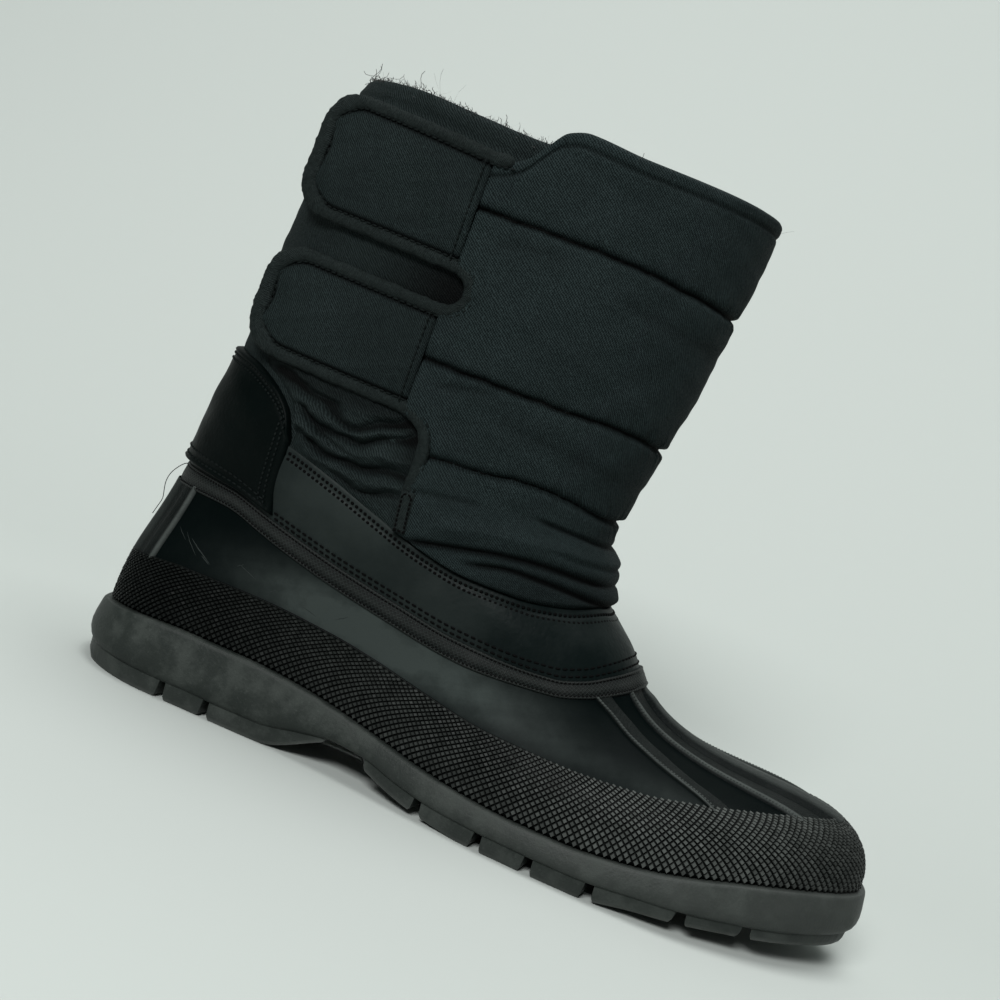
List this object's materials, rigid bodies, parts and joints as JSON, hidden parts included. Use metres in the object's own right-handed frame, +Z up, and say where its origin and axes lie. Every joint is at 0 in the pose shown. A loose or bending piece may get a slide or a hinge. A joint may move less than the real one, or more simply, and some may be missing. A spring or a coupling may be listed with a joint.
{
  "type": "snow boot",
  "caption": "Padded winter boot for one foot: lugged sole, moulded rubber shell, leather gaiter, quilted shaft, hook-and-loop straps.",
  "frame": {"origin": "on the floor, under the middle of the boot's box", "axes": "+X to the toe, +Y to the inner side of the foot, +Z up"},
  "size_m": [0.3036, 0.1084, 0.2388],
  "materials": {
    "outsole_rubber": "matt, dusty",
    "shell_rubber": "satin, textured foxing",
    "gaiter_leather": "satin",
    "shaft_nylon": "matt twill",
    "panel_nylon": "matt twill",
    "strap_nylon": "matt twill",
    "patch_leather": "satin",
    "insole_felt": "felt"
  },
  "bodies": {
    "root": {"outsole": "outsole_rubber", "insole": "insole_felt", "shell": "shell_rubber", "gaiter": "gaiter_leather", "shaft": "shaft_nylon", "front_panel": "panel_nylon", "strap_upper": "strap_nylon", "strap_lower": "strap_nylon", "heel_patch": "patch_leather"}
  },
  "joints": []
}
